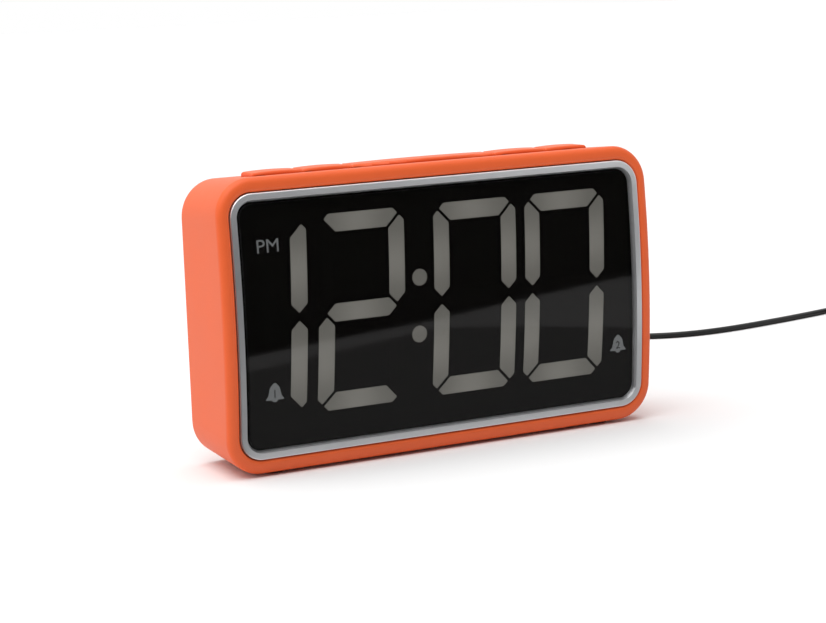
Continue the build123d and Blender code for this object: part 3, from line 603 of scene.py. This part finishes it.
def bellOutline():
    # right half of the bell from its top knob down to the clapper, in bell widths
    half = [(0.0, 0.52), (0.09, 0.50), (0.12, 0.43), (0.22, 0.36), (0.29, 0.22), (0.32, 0.02), (0.37, -0.16),
            (0.50, -0.30), (0.50, -0.35), (0.16, -0.36), (0.11, -0.45), (0.0, -0.48)]
    return half + [(-x, z) for x, z in reversed(half[1:-1])]


def bellMark(name, middle, size):
    outline = bellOutline()
    flat = [(middle[0] + x * size[0], middle[1] + z * size[1]) for x, z in outline]
    corners = [(x, side, z) for side in (-1.0, 1.0) for x, z in flat]
    count = len(outline)
    mesh = bpy.data.meshes.new(name)
    sides = [(i, (i + 1) % count, (i + 1) % count + count, i + count) for i in range(count)]
    mesh.from_pydata(corners, [], [tuple(range(count)), tuple(reversed(range(count, 2 * count)))] + sides)
    piece = bpy.data.objects.new(name, mesh)
    bpy.context.scene.collection.objects.link(piece)
    selectOnly(piece)
    bpy.ops.object.mode_set(mode="EDIT")
    bpy.ops.mesh.select_all(action="SELECT")
    bpy.ops.mesh.normals_make_consistent(inside=False)
    bpy.ops.object.mode_set(mode="OBJECT")
    return piece


def printMarks(plan):
    pm = flatText("mark_pm", **plan["pm"])
    layOnBow(pm, plan["sunk"], plan["thickness"])
    settle(pm, "case", finishes["markGrey"])
    for bell in plan["bells"]:
        shape = bellMark("mark_bell_" + bell["number"], bell["middle"], plan["bellSize"])
        layOnBow(shape, plan["sunk"], plan["thickness"])
        settle(shape, "case", finishes["markGrey"])
        middle = (bell["middle"][0], bell["middle"][1] - 0.0003)
        number = flatText("mark_number_" + bell["number"], bell["number"], middle, 0.0031)
        layOnBow(number, plan["numberSunk"], plan["thickness"])
        settle(number, "case", finishes["mask_black"])


printMarks(markPlan)
print("marks printed")

# ---- floor, background and lights
stagePlan = {
    "floorSize": 12.0,
    "floorColour": rgb(0.9, 0.9, 0.9),
    "worldSeen": 1.0,
    "worldLight": 0.3,
    "worldGloss": 1.15,
    "sun": {"strength": 2.7, "angle": 1.2, "turn": (0.0, -0.2, 0.0)},
    "lights": {
        "key": {"place": (-0.9, -1.0, 1.7), "aim": (0.0, 0.0, 0.05), "size": 1.0, "power": 3.5},
        "side": {"place": (-1.2, 0.1, 0.6), "aim": (0.0, 0.0, 0.06), "size": 0.8, "power": 2.5},
    },
    "cards": {
        "flag": {"level": 0.0, "line": [(-0.45, -0.02), (0.14, -0.281), (0.95, -0.80)], "height": 0.17},
        "tableNear": {"level": 0.7, "corners": [(-0.45, -0.02), (0.14, -0.281), (0.95, -0.80), (0.95, -0.02)],
                      "lift": 0.0002},
        "tableShade": {
            "level": 0.3, "lift": 0.0004,
            "corners": [(-0.35, -0.03), (-0.30, -0.032), (0.123, -0.243), (0.178, -0.166), (0.26, -0.03)],
        },
        "leftShade": {"level": 0.0, "corners": [(-0.09, -0.021), (0.0, -0.222), (-0.5, -0.5), (-0.6, -0.021)],
                      "lift": 0.0006},
    },
}


def makeStage(plan):
    bpy.ops.object.select_all(action="DESELECT")
    bpy.ops.mesh.primitive_plane_add(size=plan["floorSize"], location=(0, 0, 0))
    floor = bpy.context.object
    floor.name = "floor"
    bench = Bench("floorPale")
    cloud = bench.noise(3.0, 3.0)
    floor.data.materials.append(bench.finish({
        "Base Color": bench.mix(shade(plan["floorColour"], 0.985), plan["floorColour"], cloud),
        "Roughness": 0.7,
    }))
    world = bpy.data.worlds.new("studio")
    world.use_nodes = True
    back = world.node_tree.nodes["Background"].inputs
    back["Color"].default_value = rgb(1.0, 1.0, 1.0)
    path = world.node_tree.nodes.new("ShaderNodeLightPath")
    blend = world.node_tree.nodes.new("ShaderNodeMapRange")
    blend.inputs["To Min"].default_value = plan["worldLight"]
    blend.inputs["To Max"].default_value = plan["worldSeen"]
    world.node_tree.links.new(path.outputs["Is Camera Ray"], blend.inputs["Value"])
    world.node_tree.links.new(blend.outputs["Result"], back["Strength"])
    gloss = world.node_tree.nodes.new("ShaderNodeMapRange")
    gloss.inputs["To Min"].default_value = plan["worldLight"]
    gloss.inputs["To Max"].default_value = plan["worldGloss"]
    world.node_tree.links.new(path.outputs["Is Glossy Ray"], gloss.inputs["Value"])
    world.node_tree.links.new(gloss.outputs["Result"], blend.inputs["To Min"])
    bpy.context.scene.world = world
    sun = bpy.data.lights.new("sun", "SUN")
    sun.energy = plan["sun"]["strength"]
    sun.angle = plan["sun"]["angle"]
    sunHolder = bpy.data.objects.new("sun", sun)
    sunHolder.rotation_euler = plan["sun"]["turn"]
    bpy.context.scene.collection.objects.link(sunHolder)
    for name, lamp in plan["lights"].items():
        light = bpy.data.lights.new(name, "AREA")
        light.shape = "DISK"
        light.size = lamp["size"]
        light.energy = lamp["power"]
        holder = bpy.data.objects.new(name, light)
        holder.location = lamp["place"]
        aim = Vector(lamp["aim"]) - Vector(lamp["place"])
        holder.rotation_euler = aim.to_track_quat("-Z", "Y").to_euler()
        bpy.context.scene.collection.objects.link(holder)


def makeCard(name, card):
    # studio card that only the gloss sees
    if "line" in card:
        low = [(x, y, 0.0) for x, y in card["line"]]
        high = [(x, y, card["height"]) for x, y in card["line"]]
        corners = low + high
        count = len(low)
        faces = [(i, i + 1, i + 1 + count, i + count) for i in range(count - 1)]
    else:
        corners = [(x, y, card["lift"]) for x, y in card["corners"]]
        faces = [tuple(range(len(corners)))]
    mesh = bpy.data.meshes.new(name)
    mesh.from_pydata(corners, [], faces)
    piece = bpy.data.objects.new(name, mesh)
    bpy.context.scene.collection.objects.link(piece)
    bench = Bench(name)
    mesh.materials.append(bench.finish({
        "Base Color": rgb(0.0, 0.0, 0.0),
        "Roughness": 1.0,
        "Specular IOR Level": 0.0,
        "Emission Color": rgb(card["level"], card["level"], card["level"]),
        "Emission Strength": 1.0,
    }))
    piece.visible_camera = False
    piece.visible_diffuse = False
    piece.visible_shadow = False
    piece.visible_transmission = False


makeStage(stagePlan)
for name, card in stagePlan["cards"].items():
    makeCard(name, card)
bpy.context.scene.view_settings.view_transform = "Standard"
print("stage set")
